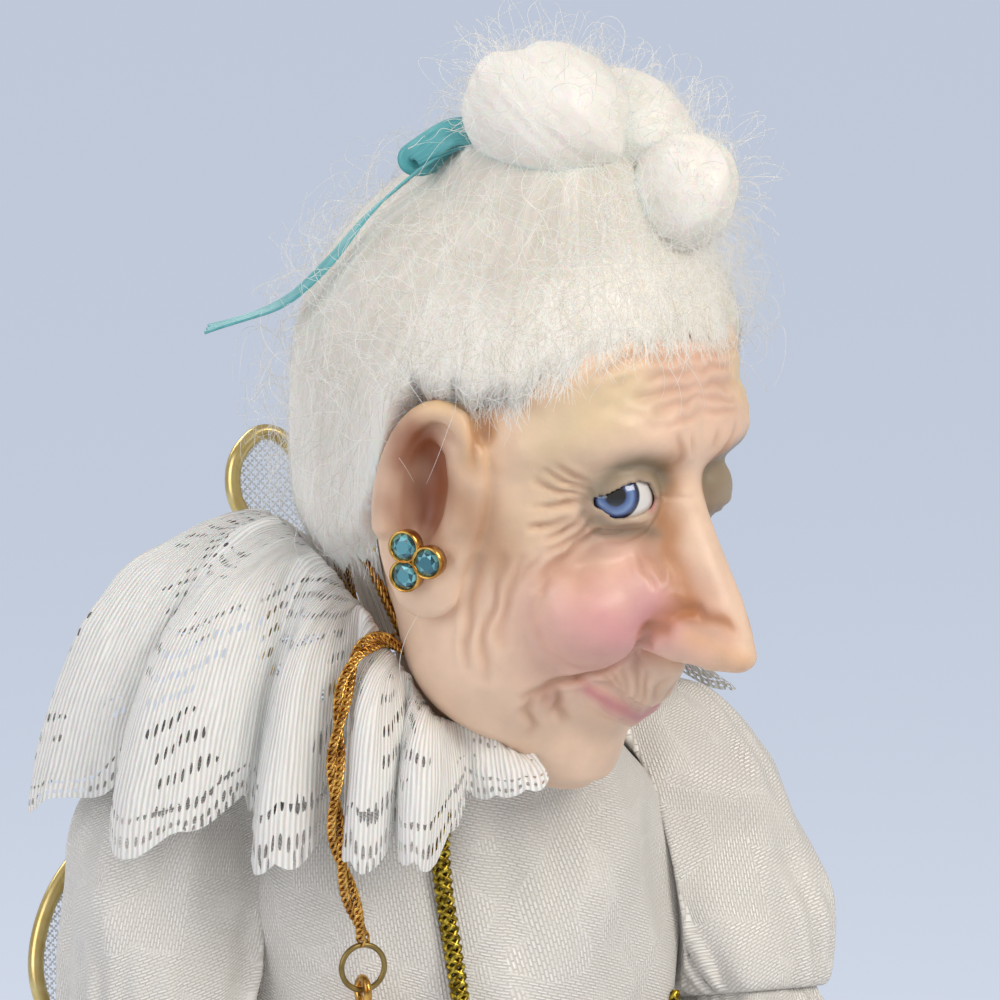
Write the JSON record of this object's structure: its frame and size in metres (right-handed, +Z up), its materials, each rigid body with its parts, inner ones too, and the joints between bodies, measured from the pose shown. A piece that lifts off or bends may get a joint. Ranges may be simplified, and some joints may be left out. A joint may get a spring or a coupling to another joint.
{
  "type": "fairy figurine",
  "caption": "Standing art doll of an elderly fairy in a satin gown with lace collar, mohair bun and wire wings; head, arms, wings and pendant move.",
  "frame": {"origin": "middle of the turned base's underside, which is also the bottom centre of the bounding box", "axes": "+Z up the doll; the chest faces -Y and the doll's left hand is at +X"},
  "size_m": [0.112, 0.112, 0.2976],
  "materials": {
    "walnut": "turned and varnished",
    "steel": "plain wire",
    "leather": "soft glove leather",
    "muslin": "stuffed cotton",
    "satin": "ivory jacquard satin",
    "clay": "painted polymer clay, satin finish",
    "lace": "white cotton lace",
    "gold": "polished gold plate",
    "gold_braid": "metallic gold braid",
    "eye_glass": "glossy glass-like eye",
    "mohair": "combed white mohair",
    "ribbon": "turquoise satin ribbon",
    "crystal": "faceted aquamarine paste stone",
    "net": "fine white net"
  },
  "bodies": {
    "figure": {"stand_base": "walnut", "support_rod": "steel", "shoe_left": "leather", "shoe_right": "leather", "leg_left": "muslin", "leg_right": "muslin", "torso": "muslin", "bodice": "satin", "skirt": "satin", "shoulder_plate": "clay", "arm_pin_left": "steel", "arm_pin_right": "steel", "lace_collar": "lace", "neck_chain": "gold", "chain_drop": "gold", "jump_ring": "gold", "braid_trim_left": "gold_braid", "braid_trim_right": "gold_braid", "wing_plate": "muslin"},
    "arm_left": {"upper_arm_left": "muslin", "forearm_left": "clay", "sleeve_left": "satin", "cuff_braid_left": "gold_braid", "cuff_lace_left": "lace"},
    "wing_left": {"wing_frame_left": "gold", "wing_net_left": "net"},
    "arm_right": {"upper_arm_right": "muslin", "forearm_right": "clay", "sleeve_right": "satin", "cuff_braid_right": "gold_braid", "cuff_lace_right": "lace"},
    "wing_right": {"wing_frame_right": "gold", "wing_net_right": "net"},
    "pendant": {"pendant": "gold"},
    "head": {"head": "clay", "eye_left": "eye_glass", "eye_right": "eye_glass", "hair_cap": "mohair", "bun_top": "mohair", "bun_middle": "mohair", "bun_front": "mohair", "ribbon_band": "ribbon", "ribbon_bow": "ribbon", "ribbon_tail": "ribbon", "earring_bezel_left": "gold", "earring_stone_left_1": "crystal", "earring_stone_left_2": "crystal", "earring_stone_left_3": "crystal", "earring_bezel_right": "gold", "earring_stone_right_1": "crystal", "earring_stone_right_2": "crystal", "earring_stone_right_3": "crystal"}
  },
  "joints": [
    {"name": "neck_turn", "type": "hinge", "parent": "figure", "child": "head", "pos_m": [0, -0.006, 0.249], "axis": [0, 0, 1], "range_deg": [-14, 22]},
    {"name": "arm_left_swing", "type": "hinge", "parent": "figure", "child": "arm_left", "pos_m": [0.0216, 0.002, 0.224], "axis": [-1, 0, 0], "range_deg": [-20, 40]},
    {"name": "arm_right_swing", "type": "hinge", "parent": "figure", "child": "arm_right", "pos_m": [-0.0216, 0.002, 0.224], "axis": [-1, 0, 0], "range_deg": [-5, 50]},
    {"name": "wing_left_fold", "type": "hinge", "parent": "figure", "child": "wing_left", "pos_m": [0.0032, 0.01865, 0.216], "axis": [0, 0.2079, 0.9781], "range_deg": [-6, 30]},
    {"name": "wing_right_fold", "type": "hinge", "parent": "figure", "child": "wing_right", "pos_m": [-0.0032, 0.01865, 0.216], "axis": [0, -0.2079, -0.9781], "range_deg": [-6, 30]},
    {"name": "pendant_swing", "type": "hinge", "parent": "figure", "child": "pendant", "pos_m": [-0.0146, -0.0174, 0.21308], "axis": [-1, 0, 0], "range_deg": [0, 60]}
  ]
}
